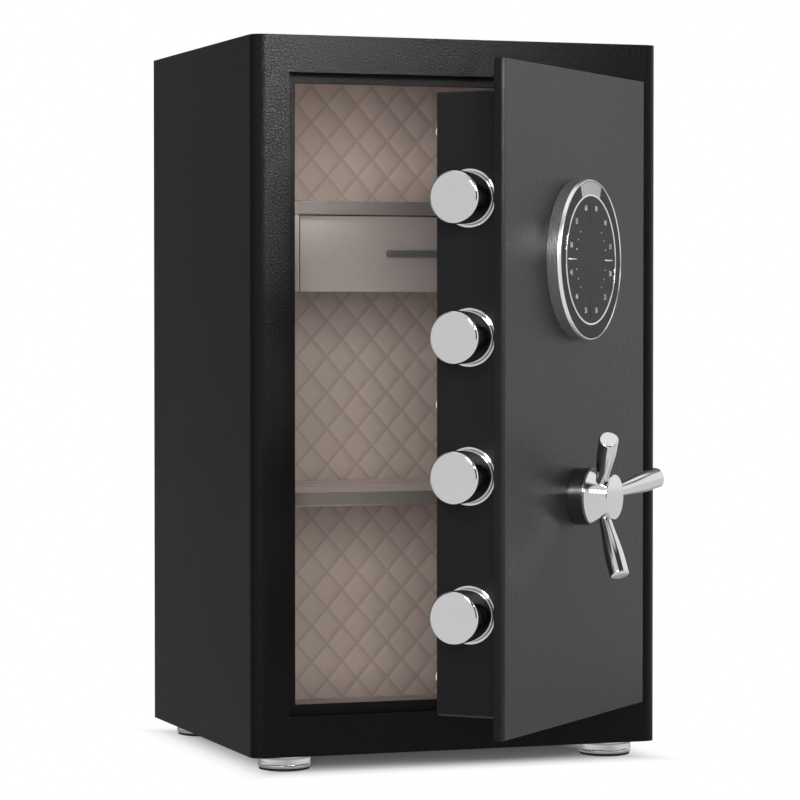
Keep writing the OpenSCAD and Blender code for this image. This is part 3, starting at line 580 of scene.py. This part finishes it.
def quilted_pad(node, u_axis, v_axis, up, crossing=None, step=0.0019):
    """A pad that fills its node's box: u and v run along two axes and the height along the
    third, from the box's low face where up is 1 and from its high face where up is -1.
    crossing is a place where two seams cross. The outermost ring of points lies on the
    backing, and one flat face closes the back."""
    lo, hi = box_of(node)
    h_axis = 3 - u_axis - v_axis
    width, depth, thick = (hi - lo)[[u_axis, v_axis, h_axis]]
    shift = (0.0, 0.0) if crossing is None else (crossing[0] - lo[u_axis],
                                                 crossing[1] - lo[v_axis])
    inner_u, inner_v = (np.linspace(0, size, int(size / step)) for size in (width, depth))
    u, v = np.meshgrid(np.r_[0, inner_u, width], np.r_[0, inner_v, depth], indexing="ij")
    h = quilt_height(u, v, width, depth, thick, *shift)
    h[0, :] = h[-1, :] = 0.0
    h[:, 0] = h[:, -1] = 0.0
    points = np.zeros(u.shape + (3,))
    points[..., u_axis], points[..., v_axis] = lo[u_axis] + u, lo[v_axis] + v
    points[..., h_axis] = (lo if up > 0 else hi)[h_axis] + up * h
    index = np.arange(u.size).reshape(u.shape)
    rim = np.r_[index[0, :], index[1:, -1], index[-1, -2::-1], index[-2:0:-1, 0]]
    faces = grid_faces(*u.shape).tolist() + [rim[::-1].tolist()]
    pad = add_piece(node.replace("lining", "quilt"), points, faces, "cabinet",
                    lining_cloth, [node], sharp=70)
    sew(pad, u_axis, v_axis, lo, shift)
    return pad


X, Y, Z = 0, 1, 2
pads = [quilted_pad("lining_back", X, Z, -1, crossing=(0.0098, 0.3432)),
        quilted_pad("lining_left", Y, Z, 1), quilted_pad("lining_right", Y, Z, -1),
        quilted_pad("lining_bottom", X, Y, 1), quilted_pad("lining_top", X, Y, -1)]
print("quilted pads:", [pad.name for pad in pads])

# %% [markdown]
# Four round bolts slide out of chromed rings in the side of the box behind the door. Their
# flat noses have a small rounding, which is the part that flashes as the door turns. A ring
# is drawn as a closed profile that reaches into the box, so it has a real bore.

# %% Bolts and their rings
def turned_piece(name, profile, start, along, body, finish, stands_for, segments=128,
                 ripple=None, on_door=True, sharp=35.0):
    """A turned piece on the door, drawn in the place of the shut door, or on the cabinet."""
    points, faces = turn_profile(profile, start, along, segments, ripple)
    points = points.reshape(-1, 3)
    piece = add_piece(name, swung(points) if on_door else points, faces, body, finish,
                      stands_for, sharp)
    return even_shading(piece)


RING_INTO, RING_PROUD, RING_LIP = 0.004, 0.002, 0.0012  # how far in, its proud part, its lip
NOSE_ROUND, HEEL_ROUND = 0.0026, 0.0008  # how far a bolt's two edges round off
for i in range(1, 5):
    lo, hi = shut_box(f"bolt_{i}")
    r, length = (hi[2] - lo[2]) / 2, hi[0] - lo[0]
    nose = (lo[0], (lo[1] + hi[1]) / 2, (lo[2] + hi[2]) / 2)
    profile = rounded([(0, 0), (r, 0), (r, length), (0, length)], (NOSE_ROUND, HEEL_ROUND), 8)
    turned_piece(f"chromed_bolt_{i}", profile, nose, (1, 0, 0), "bolts", chrome,
                 [f"bolt_{i}"])
    lo, hi = shut_box(f"bolt_ring_{i}")
    outer, bore = (hi[2] - lo[2]) / 2, r + 0.0001
    ring = rounded([(bore, RING_INTO), (bore, 0.0), (outer, 0.0), (outer, RING_PROUD),
                    (outer - RING_LIP, RING_PROUD), (outer - RING_LIP, RING_INTO),
                    (bore, RING_INTO)], (0.0007, 0.0009, 0.0, 0.0, 0.0), 5)
    turned_piece(f"chromed_ring_{i}", ring, (lo[0], nose[1], nose[2]), (1, 0, 0), "door",
                 chrome, [f"bolt_ring_{i}"])
print(f"bolts {2000 * r:.1f} mm across, rings {2000 * outer:.1f} mm")

# %% [markdown]
# Six round-headed screws hold the cover. Their heads stand past the edge of the box, so
# three of them show as bright dots from the front. All six are one piece.

# %% Screws of the cover
lo, hi = shut_box("cover_screws")
head_r, crown_r, shank_r = 0.0040, 0.0028, 0.0020
sunk, side_t, head_t, flat_head_t = -0.0030, 0.0030, 0.0036, 0.0010
screw = rounded([(0, sunk), (shank_r, sunk), (shank_r, 0), (head_r, 0), (head_r, side_t),
                 (crown_r, head_t), (0, head_t)], (0.0002, 0.0001, 0.0002, 0.0005, 0.0006), 4)
screws = [turn_profile(screw, (x, hi[1] - flat_head_t, z), (0, 1, 0), 48)
          for x in (lo[0] + head_r, hi[0] - head_r)
          for z in (lo[2] + head_r, (lo[2] + hi[2]) / 2, hi[2] - head_r)]
points, faces = joined(screws)
even_shading(add_piece("round_head_screws", swung(points), faces, "door",
                       foot_chrome, ["cover_screws"]))
print("cover screws:", len(screws))

# %% [markdown]
# The handle is cast and chromed: a short cone on a dark collar whose wall shows the lines
# of the lathe, with three arms that rise away from the door and swell toward a blunt end.

# %% Collar and hub
OUT = np.array([0.0, -1.0, 0.0])


def round_on_door(node):
    """Radius and length of a round door node, and the middle of its back."""
    lo, hi = shut_box(node)
    return ((hi[2] - lo[2]) / 2, hi[1] - lo[1],
            np.array([(lo[0] + hi[0]) / 2, hi[1], (lo[2] + hi[2]) / 2]))


collar_r, collar_t, hub_at = round_on_door("handle_base")
collar_bore = 0.0071
collar = rounded([(collar_bore, 0), (collar_r, 0), (collar_r, collar_t),
                  (collar_bore, collar_t), (collar_bore, 0)], (0.0002, 0.001, 0.0, 0.0), 5)
collar_metal = spun_metal("collar_metal", 0.20, 0.22, 1.0, 0.00006, hub_at)
turned_piece("black_collar", collar, hub_at, OUT, "door", collar_metal,
             ["handle_base"])
hub_r, hub_t, hub_back = round_on_door("handle_hub")
shoulder_in, shoulder_t, front_r = 0.0022, 0.0060, 0.0182
hub = rounded([(0, 0), (hub_r, 0), (hub_r - shoulder_in, shoulder_t), (front_r, hub_t),
               (0, hub_t)], (0.0005, 0.0040, 0.0012), 8)
turned_piece("chromed_hub", hub, (hub_at[0], hub_back[1], hub_at[2]), OUT, "handle",
             chrome, ["handle_hub"])
print(f"hub {2000 * hub_r:.1f} mm across and {1000 * hub_t:.1f} mm long")

# %% [markdown]
# An arm is a loft: one closed outline, nearly an ellipse, of changing width and thickness is
# carried along a straight line that starts inside the hub and rises away from the door.

# %% Arms of the handle
ARM_START, ARM_SUNK, ARM_RISE = 0.014, 0.0085, 0.4  # radius and depth where it starts; slope
ARM_REACH, ARM_BLUNT, ARM_AROUND = 0.0655, 0.0013, 64
ROOT, SWELL, SWELL_END = (0.0096, 0.0094), (0.0068, 0.0062), 0.8  # width and thickness


def arm_points(angle, hub_front, stations=36, end_steps=7):
    """Loft along a straight line that rises 0.4 mm per mm. At a share s of its length it has
    swollen by g = q^2 (3 - 2 q), q = s / 0.8, to 9.6 + 6.8 g mm wide and 9.4 + 6.2 g mm
    thick. Its points are (w/2 cos, t/2 sin) of an angle, both raised to 0.9. The end rounds
    off by a quarter circle of 1.3 mm and closes on a flat face."""
    s = np.linspace(0, 1, stations)
    bend = np.linspace(0, np.pi / 2, end_steps + 1)[1:]
    straight_end = ARM_REACH - ARM_BLUNT
    r = np.r_[ARM_START + (straight_end - ARM_START) * s,
              straight_end + ARM_BLUNT * np.sin(bend), ARM_REACH, ARM_REACH]
    shrink = np.r_[np.zeros(stations), ARM_BLUNT * (1 - np.cos(bend)), ARM_BLUNT, ARM_BLUNT]
    close = np.r_[np.ones(stations + end_steps), 0.5, 0.0]
    q = np.minimum(np.r_[s, np.ones(end_steps + 2)] / SWELL_END, 1)
    grown = q ** 2 * (3 - 2 * q)
    wide, thick = ((root + swell * grown - 2 * shrink) * close
                   for root, swell in zip(ROOT, SWELL))
    lift = hub_front - ARM_SUNK + ARM_RISE * (r - ARM_START)
    t = np.linspace(0, 2 * np.pi, ARM_AROUND, endpoint=False)
    c, d = (np.sign(part) * np.abs(part) ** 0.9 for part in (np.cos(t), np.sin(t)))
    rake = math.atan(ARM_RISE)
    along = r[:, None] - math.sin(rake) * thick[:, None] / 2 * d
    height = lift[:, None] + math.cos(rake) * thick[:, None] / 2 * d
    side = wide[:, None] / 2 * c
    x = along * math.cos(angle) - side * math.sin(angle)
    z = along * math.sin(angle) + side * math.cos(angle)
    points = hub_at + np.stack([x, -height, z], -1)
    faces = grid_faces(len(r), ARM_AROUND, around=True).tolist()
    return points, faces + [list(range(ARM_AROUND - 1, -1, -1))]


points, faces = joined([arm_points(math.radians(degrees), collar_t + hub_t)
                        for degrees in (12, 132, 252)])
arms = add_piece("handle_arms", swung(points), faces, "handle", chrome,
                 ["handle_spokes"], sharp=60)
print("handle arms:", len(arms.data.polygons), "faces")

# %% [markdown]
# The number dial is a shallow turned drum. Its wall shows the lines of the lathe, its narrow
# rim is satin; inside lie a dark ring, a thin bright ring and a glass panel. A light field
# sits at the top of the dark ring and is left bare.

# %% Dial
dial_r, dial_t, dial_at = round_on_door("dial_body")
dial_wall = spun_metal("dial_wall", 0.50, 0.26, 0.92, 0.00006, dial_at)
dial_satin = polished("dial_satin", 0.95, 0.28)
wall_in, rim_deep = 0.0040, 0.0027
wall = rounded([(dial_r - wall_in, 0), (dial_r, 0), (dial_r, dial_t - rim_deep)], (0.0003,), 4)
turned_piece("dial_drum", wall, dial_at, OUT, "door", dial_wall, ["dial_body"])
rim_steps = [(0.0, rim_deep), (0.0001, 0.0024), (0.0008, 0.0003), (0.0014, 0.0),
             (0.0022, 0.0020), (wall_in, 0.0020), (wall_in, dial_t)]  # inward, below the front
rim = rounded([(dial_r - inward, dial_t - below) for inward, below in rim_steps],
              (0.0004, 0.0005, 0.0002, 0.0, 0.0), 6)
turned_piece("dial_rim", rim, dial_at, OUT, "door", dial_satin, [])
glass_r, glass_gap, glass_low = dial_r * 0.785, 0.0002, 0.0006
ring_wide, ring_deep, glass_deep = 0.0018, 0.0018, 0.0019
ring = rounded([(glass_r, dial_t - ring_deep), (glass_r, dial_t), (glass_r + ring_wide, dial_t),
                (glass_r + ring_wide, dial_t - ring_deep), (glass_r, dial_t - ring_deep)],
               (0.0008, 0.0008, 0.0), 6)
turned_piece("dial_bright_ring", ring, dial_at, OUT, "door", chrome,
             ["dial_ring"])
panel = rounded([(0, dial_t - glass_deep), (glass_r + glass_gap, dial_t - glass_deep),
                 (glass_r + glass_gap, dial_t - glass_low), (0, dial_t - glass_low)],
                (0.0001, 0.0002), 3)
turned_piece("dial_panel", panel, dial_at, OUT, "door", panel_glass,
             ["dial_glass"])
print(f"dial {2000 * dial_r:.1f} mm across, glass {2000 * glass_r:.1f} mm")

# %% [markdown]
# The marks are generic: twelve plain numbers round the panel, a short light line at the
# left and right, a thin dark line at the top and bottom, and small dots inside the numbers.
# Each number starts as a text object and becomes a flat mesh. All marks of one colour are
# laid on the panel as one mesh, and a Solidify modifier gives them the body of a print.

# %% Marks on the dial
def on_panel(x, y, proud):
    """From panel coordinates, x right and y up from the dial's centre, to the open door."""
    front = dial_at[1] - dial_t + glass_low - proud
    return swung(np.stack([dial_at[0] + x, np.full_like(x, front), dial_at[2] + y], -1))


def letter(text, size):
    """Outline of a character as a flat mesh: its points and its faces."""
    curve = bpy.data.curves.new("mark", "FONT")
    curve.body, curve.size, curve.resolution_u = text, size, 3
    curve.align_x, curve.align_y = "CENTER", "CENTER"
    stand_in = bpy.data.objects.new("mark", curve)
    bpy.context.scene.collection.objects.link(stand_in)
    bpy.context.view_layer.update()
    mesh = bpy.data.meshes.new_from_object(stand_in)
    points = np.array([v.co for v in mesh.vertices], float)[:, :2]
    faces = [list(p.vertices) for p in mesh.polygons]
    bpy.data.objects.remove(stand_in)
    bpy.data.meshes.remove(mesh)
    return points, faces


def disc(radius, around=16):
    """(radius cos t, radius sin t), as one face."""
    t = np.linspace(0, 2 * np.pi, around, endpoint=False)
    return np.stack([radius * np.cos(t), radius * np.sin(t)], 1), [list(range(around))]


def bar(width, height):
    """A rectangle about its middle, as one face."""
    w, h = width / 2, height / 2
    return np.array([[-w, -h], [w, -h], [w, h], [-w, h]]), [[0, 1, 2, 3]]


def at_place(shape, x, y):
    """A flat shape (points, faces) moved to x, y."""
    return shape[0] + (x, y), shape[1]


def round_place(shape, radius, degrees):
    """A flat shape moved to (radius cos a, radius sin a)."""
    a = math.radians(degrees)
    return at_place(shape, radius * math.cos(a), radius * math.sin(a))


def lay_marks(name, marks, finish, proud=0.00012, skin_t=0.0001):
    """All flat shapes in marks become one thin piece on the glass."""
    points, faces = joined(marks)
    piece = add_piece(name, on_panel(points[:, 0], points[:, 1], proud), faces, "door",
                      finish)
    skin = piece.modifiers.new("print", "SOLIDIFY")
    skin.thickness, skin.offset = skin_t, 0.0
    return piece


number_h, numbers_r, dot_r, dots_r = 0.0062, 0.043, 0.0006, 0.0316
marks = []
for k in range(12):
    points, cells = letter(f"{5 * (k + 1):02d}", number_h)
    marks.append(round_place((points * (0.86, 1.0), cells), numbers_r, 75 - 30 * k))
for degrees in (15, 30, 45, 135, 150, 165, 195, 210, 225, 315, 330, 345):
    marks.append(round_place(disc(dot_r), dots_r, degrees))
for x in (-0.0390, 0.0385):
    marks.append(at_place(bar(0.0165, 0.0010), x, 0.0))
lines = [at_place(bar(0.0016, 0.0178), 0.0, y) for y in (-0.0395, 0.0395)]
lay_marks("dial_marks", marks, mark_light)
lay_marks("dial_lines", lines, mark_dark)
print("dial marks:", len(marks), "light and", len(lines), "dark")

# %% [markdown]
# The feet are screwed glides: a thin flange, a milled band that fingers can grip, a smooth
# chamfer and a rubber pad. The milling is a ripple on the radius of the turned band.

# %% Feet
GROOVES, GROOVE_DEEP = 90, 0.0007
BAND_LOW, BAND_HIGH, BAND_EASE = 0.0052, 0.0111, 0.0004  # heights above the floor


def milled(radius, depth, angle):
    """Ninety grooves, -0.7 mm * (1 - |cos(45 a)|)^0.6, only in the middle band, and only on
    the outside, where the radius is above 19 mm."""
    band = np.clip(np.minimum((depth - BAND_LOW) / BAND_EASE, (BAND_HIGH - depth) / BAND_EASE),
                   0, 1)
    outside = radius > 0.019
    groove = (1 - np.abs(np.cos(GROOVES / 2 * angle))) ** 0.6
    return -GROOVE_DEEP * band * outside * groove


stud_r, stud_top, band_in, band_rows = 0.004, 0.003, 0.0003, 13
for i in range(1, 5):
    lo, hi = box_of(f"foot_{i}")
    r = (hi[0] - lo[0]) / 2
    z0, z1, band_r = lo[2], hi[2] - stud_top, r - band_in
    band_low, band_high = z0 + 0.0024, z1 - 0.0022
    profile = rounded([(0, z0), (r - 0.0012, z0), (band_r, z0 + 0.0010), (band_r, band_low),
                       (band_r, band_high), (r, z1 - 0.0017), (r, z1), (stud_r, z1),
                       (stud_r, z1 + 0.0029), (0, z1 + 0.0029)],
                      (0.0003, 0.0005, 0.0, 0.0, 0.0002, 0.0004, 0.0, 0.0), 3)
    below, above = profile[:, 1] < z0 + 0.0020, profile[:, 1] > z1 - 0.0021
    band = np.stack([np.full(band_rows, band_r), np.linspace(band_low, band_high, band_rows)], 1)
    profile = np.concatenate([profile[below], band, profile[~below & above]])
    middle = np.array([(lo[0] + hi[0]) / 2, (lo[1] + hi[1]) / 2, 0.0])
    turned_piece(f"milled_foot_{i}", profile, middle, (0, 0, 1), "cabinet",
                 foot_chrome, [f"foot_{i}"], 720, milled, on_door=False, sharp=50)
print(f"feet {2000 * r:.1f} mm across, {1000 * z1:.1f} mm high")

# %% [markdown]
# The studio is a white room: a pale floor that fades into a white surround. Light Path nodes
# show pure white to the camera, while the floor near the safe keeps its soft shadow. What
# polished metal mirrors is set apart, because chrome needs light and dark places round it.

# %% Floor and surround
def studio_floor(half_width=0.167, half_depth=0.155, size=9.0):
    """White to the camera, but with its own shadow under the safe. The shadow fades out from
    41 mm inside to 36 mm outside a rectangle of half_width and half_depth. Reflections see
    the floor brighter where it lies open, right of the cabinet and in front."""
    bpy.ops.mesh.primitive_grid_add(x_subdivisions=2, y_subdivisions=2, size=size,
                                    location=(0, 0, 0))
    floor = bpy.context.object
    floor.name = "studio_floor"
    ground = Finish("floor_white", {"Roughness": 1.0, "Specular IOR Level": 0.0,
                                    "Base Color": grey(0.88)})
    path = ground.node("ShaderNodeLightPath").socket.node.outputs
    seen, mirrored = (Link(ground, path[k]) for k in ("Is Camera Ray", "Is Glossy Ray"))
    x, y, _ = ground.parts(ground.place())
    outside = (x.size() - half_width).highest(y.size() - half_depth)
    bare = ground.ramp(outside, -0.041, 0.036) * 0.95 + 0.05
    open_side = ground.ramp(x, 0.3, 0.6).highest(ground.ramp(0 - y, 0.15, 0.20))
    white = ground.node("ShaderNodeEmission", inputs={
        "Strength": seen + mirrored * (open_side * 0.45 + 0.3)})
    share = seen * bare + mirrored
    both = ground.node("ShaderNodeMixShader", inputs={
        0: share, 1: Link(ground, ground.surface.outputs[0]), 2: white})
    ground.tree.links.new(both.socket, ground.tree.nodes["Material Output"].inputs[0])
    floor.data.materials.append(ground.material)
    return floor


def surround(ambient):
    """White to the camera; to reflections white at the sides and above, dimmer behind and
    dark in front, as a studio is; an even weak light for everything else."""
    world = bpy.data.worlds.new("white_room")
    bpy.context.scene.world = world
    world.use_nodes = True
    sky = Shader(world.node_tree)
    x, y, z = sky.parts(sky.place("Generated"))
    right, above = sky.ramp(x, 0.55, 0.70) * 0.95, sky.ramp(z, 0.78, 0.92)
    left = sky.ramp(0 - x, 0.33, 0.42) * (1 - sky.ramp(y, -0.05, 0.25)) * 0.72
    behind = sky.ramp(y, 0.2, 0.8) * 0.19
    room = (right + left).highest(above).highest(behind)
    path = sky.node("ShaderNodeLightPath").socket.node.outputs
    seen, mirrored, through = (Link(sky, path[k]) for k in (
        "Is Camera Ray", "Is Glossy Ray", "Is Transmission Ray"))
    shade = mirrored * (room * 0.95 + 0.05) + (1 - mirrored) * ambient
    level = seen.highest(through.highest(shade))
    lamp = sky.node("ShaderNodeBackground", inputs={"Color": (1, 1, 1, 1), "Strength": level})
    sky.tree.links.new(lamp.socket, sky.tree.nodes["World Output"].inputs[0])
    return world


print("studio:", studio_floor().name, "and", surround(ambient=0.32).name)

# %% [markdown]
# Four soft lamps light the object. A wide one in front fills everything evenly, and a wide
# one above lights the tops; neither shows in gloss. Two small ones with a narrow cone put
# soft gleams on the painted steel. The second of them only shows as a gleam, because its
# light would otherwise whiten the drawer and the edge strips.

# %% Lamps
def soft_lamp(name, place, target, width, height, power, spread=180, mirrored=True,
              matt=True):
    """A rectangular lamp at place that faces target and lights a cone spread degrees wide.
    A lamp that isn't mirrored leaves no spot on gloss, one that isn't matt only that spot."""
    data = bpy.data.lights.new(name, "AREA")
    data.shape, data.size, data.size_y = "RECTANGLE", width, height
    data.energy, data.spread = power, math.radians(spread)
    lamp = bpy.data.objects.new(name, data)
    forward = np.asarray(target, float) - np.asarray(place, float)
    forward /= np.linalg.norm(forward)
    yaw, fall = math.atan2(forward[1], forward[0]), math.asin(forward[2])
    lamp.location = place
    lamp.rotation_euler = (math.pi / 2 + fall, 0.0, yaw - math.pi / 2)
    bpy.context.scene.collection.objects.link(lamp)
    lamp.visible_camera, lamp.visible_glossy, lamp.visible_diffuse = False, mirrored, matt
    return lamp


lamps = [
    soft_lamp("fill_lamp", (-0.97, -3.1, 0.60), (0.0, 0.0, 0.32), width=1.4, height=1.1,
              power=87.0, mirrored=False),
    soft_lamp("key_lamp", (0.20, -1.40, 1.05), (-0.42, -0.15, 0.64), width=0.5, height=0.4,
              power=3.8, spread=41),
    soft_lamp("side_lamp", (-0.69, -1.20, 0.80), (0.18, -0.30, 0.08), width=0.34, height=0.20,
              power=0.80, spread=31, matt=False),
    soft_lamp("top_lamp", (-0.10, -0.90, 2.20), (0.0, -0.30, 0.0), width=2.0, height=1.4,
              power=10.0, mirrored=False)]
print("lamps:", [lamp.name for lamp in lamps])
